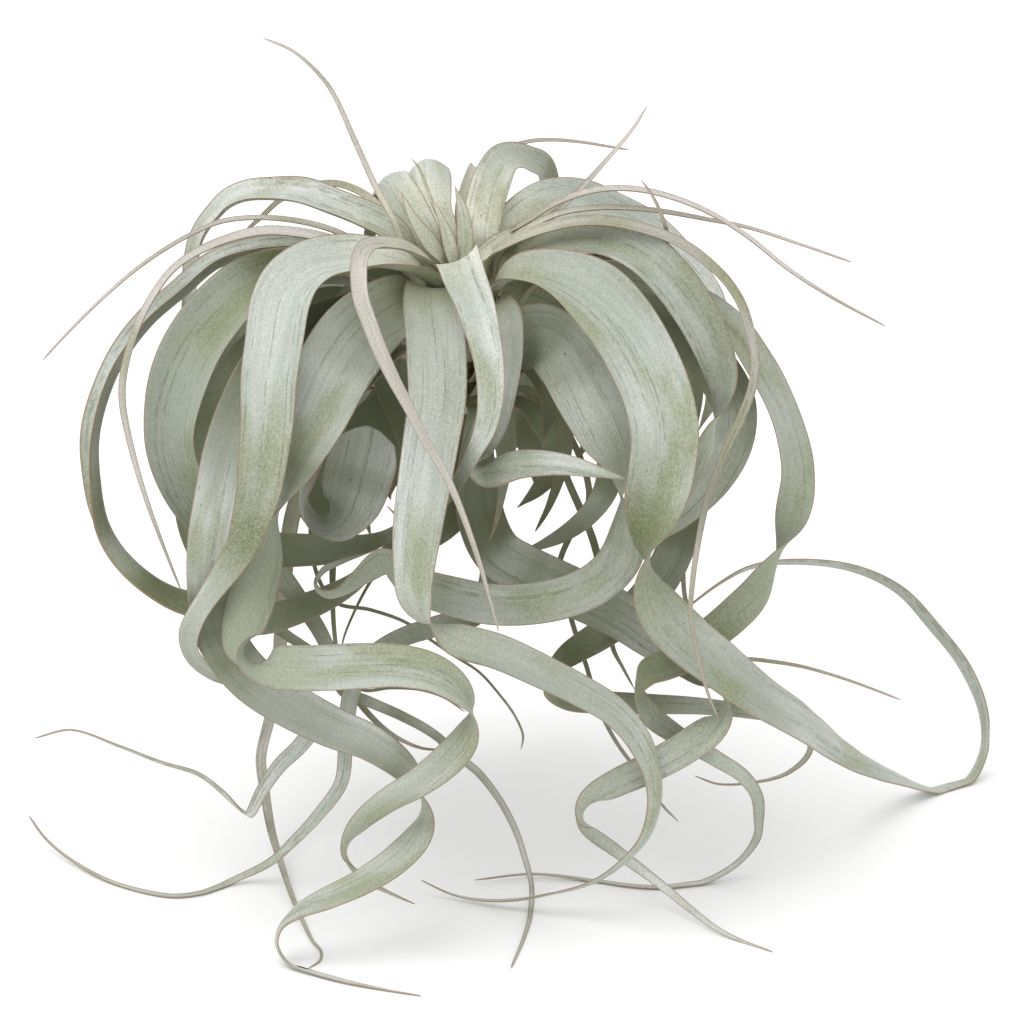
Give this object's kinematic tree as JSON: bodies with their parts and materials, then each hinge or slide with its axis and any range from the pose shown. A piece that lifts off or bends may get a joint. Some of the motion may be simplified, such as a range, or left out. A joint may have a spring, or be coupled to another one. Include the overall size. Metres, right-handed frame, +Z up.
{
  "type": "air plant",
  "caption": "Free-standing air plant: a short stem under a rosette of long tapering channelled leaves that arch out, droop and curl at their tips.",
  "frame": {"origin": "on the resting surface, under the middle of the plant's box", "axes": "+Z up, +X to the right as seen from the front, the front facing -Y"},
  "size_m": [0.5166, 0.3234, 0.4202],
  "materials": {
    "leaf_silver_green": "matt silvery grey-green leaf with a fine scaly bloom and thin tan margins",
    "leaf_pale_mauve": "matt pinkish-grey narrow leaf",
    "stem_olive": "rough olive-brown stem"
  },
  "bodies": {
    "root": {"stem": "stem_olive", "left_thread_high": "leaf_pale_mauve", "left_thread_low": "leaf_pale_mauve", "left_outer_arch": "leaf_silver_green", "left_inner_arch": "leaf_silver_green", "left_front_blade": "leaf_silver_green", "left_under_blade": "leaf_silver_green", "front_left_blade": "leaf_silver_green", "front_ribbon": "leaf_pale_mauve", "front_centre_blade": "leaf_silver_green", "front_hook": "leaf_silver_green", "front_spear": "leaf_silver_green", "right_front_blade": "leaf_silver_green", "right_under_blade": "leaf_silver_green", "right_shoulder_blade": "leaf_silver_green", "right_long_thread": "leaf_pale_mauve", "right_short_thread": "leaf_pale_mauve", "right_tail_ribbon": "leaf_pale_mauve", "right_outer_arch": "leaf_silver_green", "left_shoulder_blade": "leaf_silver_green", "left_shoulder_thread": "leaf_pale_mauve", "back_left_blade": "leaf_silver_green", "back_middle_blade": "leaf_silver_green", "back_left_spike": "leaf_pale_mauve", "back_middle_spike": "leaf_pale_mauve", "back_right_arch": "leaf_silver_green", "back_right_narrow": "leaf_pale_mauve", "back_thread": "leaf_pale_mauve", "back_right_blade": "leaf_silver_green", "back_right_spike": "leaf_pale_mauve", "right_spike": "leaf_pale_mauve", "right_inner_blade": "leaf_silver_green", "right_low_blade": "leaf_silver_green", "front_inner_loop": "leaf_silver_green", "low_left_ribbon": "leaf_silver_green", "low_left_dark": "leaf_silver_green", "low_left_tail": "leaf_silver_green", "low_thin_tail": "leaf_pale_mauve", "left_foot_tail": "leaf_pale_mauve", "right_front_tail": "leaf_silver_green", "inner_vertical": "leaf_silver_green", "inner_dark_band": "leaf_silver_green", "inner_right_dark": "leaf_silver_green", "inner_right_olive": "leaf_pale_mauve", "right_inner_ribbon": "leaf_silver_green", "thin_right_strut": "leaf_pale_mauve", "right_thin_tail": "leaf_pale_mauve", "right_side_thread": "leaf_pale_mauve", "curl_thread": "leaf_pale_mauve", "short_inner_thread": "leaf_pale_mauve", "left_inner_leaf": "leaf_silver_green", "left_inner_dark": "leaf_silver_green", "inner_left_curtain": "leaf_silver_green", "inner_right_curtain": "leaf_silver_green", "back_droop_1": "leaf_silver_green", "back_droop_2": "leaf_silver_green", "back_droop_3": "leaf_silver_green", "back_droop_4": "leaf_silver_green", "back_droop_5": "leaf_silver_green", "back_droop_6": "leaf_silver_green"}
  },
  "joints": []
}
